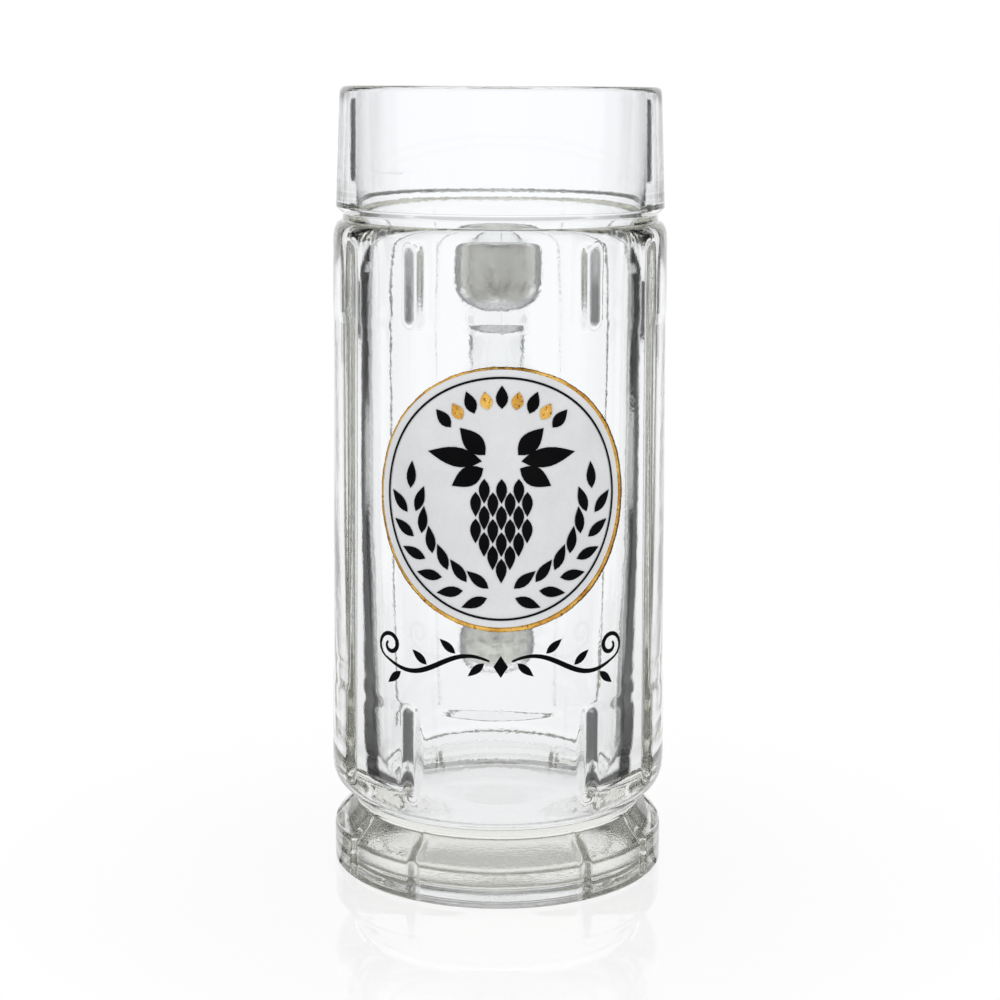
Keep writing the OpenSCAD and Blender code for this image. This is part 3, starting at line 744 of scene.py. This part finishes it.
def surround_level(m, place, levels, from_place):
    """Sockets with the surround's level at a place or direction, and with its height."""
    part = m.add("ShaderNodeSeparateXYZ", Vector=place).outputs
    aside = m.maths("MAXIMUM", m.maths("SUBTRACT", m.maths("ABSOLUTE", part["X"]), from_place[0]), 0.0)
    behind = m.maths("SUBTRACT", part["Y"], from_place[1])
    turn = m.maths("ABSOLUTE", m.maths("ARCTAN2", aside, behind))
    ramp = m.add("ShaderNodeValToRGB", Fac=m.maths("DIVIDE", turn, math.pi))
    stops = ramp.color_ramp.elements
    while len(stops) < len(levels):
        stops.new(0.5)
    for stop, (angle, level) in zip(stops, levels):
        stop.position = angle / 180.0
        stop.color = (level, level, level, 1.0)
    return ramp.outputs[0], part["Z"]


def ray_kinds(m):
    """Sockets that are 1 for rays from glass or gloss, and for rays from the camera."""
    path = m.add("ShaderNodeLightPath").outputs
    return m.maths("MAXIMUM", path["Is Glossy Ray"], path["Is Transmission Ray"]), path["Is Camera Ray"]


def floor_material():
    m = Nodes("white_floor")
    place = m.place()
    away = m.add("ShaderNodeVectorMath", set_operation="LENGTH")
    m.put(away, 0, place)
    away = away.outputs["Value"]
    shaded = m.add("ShaderNodeAddShader")
    m.put(shaded, 0, m.add("ShaderNodeBsdfDiffuse", Color=FLOOR_TONE).outputs[0])
    m.put(shaded, 1, m.emission(WHITE, FLOOR_GLOW))
    spread = m.mix(m.scaled(away, SHADOW_FROM, SHADOW_TO), shaded.outputs[0], m.emission(WHITE, 1.0))
    mirror = m.add("ShaderNodeBsdfGlossy", Roughness=MIRROR_BLUR).outputs[0]
    top = m.mix(m.scaled(away, MIRROR_FROM, MIRROR_TO, MIRROR_SHARE, 0.0), spread, mirror)
    # Painted shade and reflection: dim sectors on the floor, seen only by glass and gloss rays
    level = surround_level(m, place, UNDER_LEVELS, WALL_PLACE)[0]
    for levels, start, full in FLOOR_RINGS:
        ring = surround_level(m, place, levels, WALL_PLACE)[0]
        level = m.between(m.scaled(away, start, full), level, ring)
    # Painted shadow: the floor that glass and gloss see is dimmer near the mug
    tone = m.maths("MULTIPLY", level, m.scaled(away, PAINTED_SHADOW_FROM, PAINTED_SHADOW_TO, PAINTED_SHADOW_LEVEL, 1.0))
    through = m.emission(SURROUND_TINT, m.maths("MULTIPLY", tone, SURROUND_LIGHT))
    return m.surface(m.mix(ray_kinds(m)[0], top, through))


def make_floor():
    n = FLOOR_POINTS
    t = np.linspace(0, 2 * math.pi, n, endpoint=False)
    rings = [np.stack([r * np.cos(t), r * np.sin(t), np.full(n, FLOOR_Z)], -1) for r in FLOOR_RADII]
    verts = np.vstack([[[0, 0, FLOOR_Z]]] + rings)
    faces = [[0, 1 + i, 1 + (i + 1) % n] for i in range(n)]
    faces += grid_faces(len(rings), n, start=1, flip=True)
    floor = add_object("floor", verts, faces, smooth=False)
    floor.data.materials.append(floor_material())


def make_world():
    world = bpy.data.worlds.new("studio")
    bpy.context.scene.world = world
    m = Nodes("studio", world)
    direction = m.add("ShaderNodeTexCoord").outputs["Generated"]
    level, height = surround_level(m, direction, WALL_LEVELS, (0.0, 0.0))
    first, last, dim = CEILING
    sky = m.scaled(height, math.sin(math.radians(first)), math.sin(math.radians(last)), 1.0, dim)
    in_glass, camera_ray = ray_kinds(m)
    strips = m.maths("MULTIPLY", m.maths("MULTIPLY", level, sky), SURROUND_LIGHT)
    around = m.between(in_glass, WORLD_LIGHT, strips)
    strength = m.maths("MAXIMUM", m.maths("MULTIPLY", camera_ray, BACKGROUND_LIGHT), around)
    m.surface(m.add("ShaderNodeBackground", Color=SURROUND_TINT, Strength=strength).outputs[0])


# Softboxes in front on both sides: distances in millimetres, side length, power in watts, and what they face
LAMP_ASIDE, LAMP_FRONT, LAMP_Z, LAMP_SIZE, LAMP_POWER = 520, 560, 520, 420, 2.2
LAMP_TARGET = (0, 0, 95)


def add_lamp(name, place):
    data = bpy.data.lights.new(name, "AREA")
    data.size = LAMP_SIZE * MM
    data.energy = LAMP_POWER
    lamp = bpy.data.objects.new(name, data)
    bpy.context.scene.collection.objects.link(lamp)
    lamp.location = Vector(place) * MM
    lamp.rotation_euler = (Vector(LAMP_TARGET) - Vector(place)).to_track_quat("-Z", "Y").to_euler()
    lamp.visible_transmission = lamp.visible_glossy = False


make_floor()
make_world()
add_lamp("softbox_left", (-LAMP_ASIDE, -LAMP_FRONT, LAMP_Z))
add_lamp("softbox_right", (LAMP_ASIDE, -LAMP_FRONT, LAMP_Z))

# Camera, at the photograph's place: millimetres, degrees, and shares of the frame for the shift
CAMERA_PLACE = (-7.3, -520.9, 190.0)
CAMERA_PITCH, CAMERA_ROLL, CAMERA_TURN = 9.308, 0.26, -0.8
CAMERA_SENSOR, CAMERA_LENS, CAMERA_SHIFT = 36.0, 77.76, (0.0008, -0.06)
CAMERA_NEAR, CAMERA_FAR = 0.01, 50.0

scene = bpy.context.scene
camera_data = bpy.data.cameras.new("camera")
camera = bpy.data.objects.new("camera", camera_data)
scene.collection.objects.link(camera)
camera_data.sensor_width = CAMERA_SENSOR
camera_data.lens = CAMERA_LENS
camera_data.shift_x, camera_data.shift_y = CAMERA_SHIFT
camera_data.clip_start, camera_data.clip_end = CAMERA_NEAR, CAMERA_FAR
camera.matrix_world = (Matrix.Translation(Vector(CAMERA_PLACE) * MM)
                       @ Matrix.Rotation(math.radians(CAMERA_TURN), 4, "Z")
                       @ Matrix.Rotation(math.radians(90 - CAMERA_PITCH), 4, "X")
                       @ Matrix.Rotation(math.radians(CAMERA_ROLL), 4, "Z"))
scene.camera = camera
scene.view_settings.view_transform = "Standard"

# Light passes many glass walls here, one behind the other
cycles = scene.cycles
cycles.max_bounces = cycles.transmission_bounces = 40
cycles.glossy_bounces = 12
cycles.transparent_max_bounces = 16
cycles.caustics_reflective = False

bpy.context.view_layer.update()
